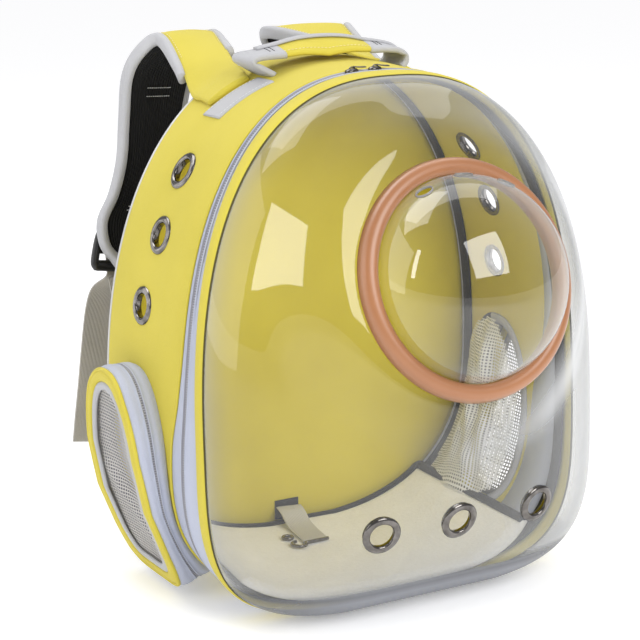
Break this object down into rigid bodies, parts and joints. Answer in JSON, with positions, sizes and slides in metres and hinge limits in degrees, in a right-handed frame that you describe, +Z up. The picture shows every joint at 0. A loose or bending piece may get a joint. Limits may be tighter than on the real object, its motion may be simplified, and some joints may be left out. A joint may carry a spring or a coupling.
{
  "type": "bubble pet carrier backpack",
  "caption": "Soft pet carrier backpack with a clear domed front, a clear half-ball window in a ring, zipped mesh side doors, a top handle and padded shoulder straps.",
  "frame": {"origin": "on the ground under the middle of the fabric body, on its flat base", "axes": "+X to the right seen from the clear front, +Y to the wearer's back, +Z up"},
  "size_m": [0.391, 0.4174, 0.4148],
  "materials": {
    "yellow_cloth": "matt coated cloth",
    "pale_cloth": "matt cloth",
    "black_cloth": "matt cloth",
    "cream_cloth": "soft pile",
    "grey_webbing": "woven",
    "clear_plastic": "clear, polished",
    "peach_plastic": "glossy",
    "black_plastic": "satin",
    "pewter_metal": "polished pewter"
  },
  "bodies": {
    "root": {"front_rim": "yellow_cloth", "zip_band": "pale_cloth", "side_band": "yellow_cloth", "back_panel": "yellow_cloth", "back_piping": "pale_cloth", "back_pad": "black_cloth", "inner_binding_front": "black_cloth", "inner_binding_back": "black_cloth", "floor_mat": "cream_cloth", "clear_shell": "clear_plastic", "bubble_dome": "clear_plastic", "bubble_ring": "peach_plastic", "handle_strap": "yellow_cloth", "handle_end_left": "pale_cloth", "handle_end_right": "pale_cloth", "leash_tab": "black_cloth", "leash_strap": "grey_webbing", "leash_hook": "pewter_metal", "leash_ring": "pewter_metal", "front_eyelet_1": "pewter_metal", "front_eyelet_2": "pewter_metal", "front_eyelet_3": "pewter_metal", "side_eyelet_left_1": "pewter_metal", "side_eyelet_left_2": "pewter_metal", "side_eyelet_left_3": "pewter_metal", "door_gusset_left": "pale_cloth", "door_frame_left": "yellow_cloth", "door_binding_left": "pale_cloth", "door_mesh_left": "pale_cloth", "strap_core_left": "yellow_cloth", "strap_lining_left": "black_cloth", "strap_binding_left": "pale_cloth", "strap_bar_left": "pale_cloth", "strap_buckle_left": "black_plastic", "load_webbing_left": "grey_webbing", "webbing_tail_left": "grey_webbing", "zip_slider_left": "pewter_metal", "side_eyelet_right_1": "pewter_metal", "side_eyelet_right_2": "pewter_metal", "side_eyelet_right_3": "pewter_metal", "door_gusset_right": "pale_cloth", "door_frame_right": "yellow_cloth", "door_binding_right": "pale_cloth", "door_mesh_right": "pale_cloth", "strap_core_right": "yellow_cloth", "strap_lining_right": "black_cloth", "strap_binding_right": "pale_cloth", "strap_bar_right": "pale_cloth", "strap_buckle_right": "black_plastic", "load_webbing_right": "grey_webbing", "webbing_tail_right": "grey_webbing", "zip_slider_right": "pewter_metal"}
  },
  "joints": []
}
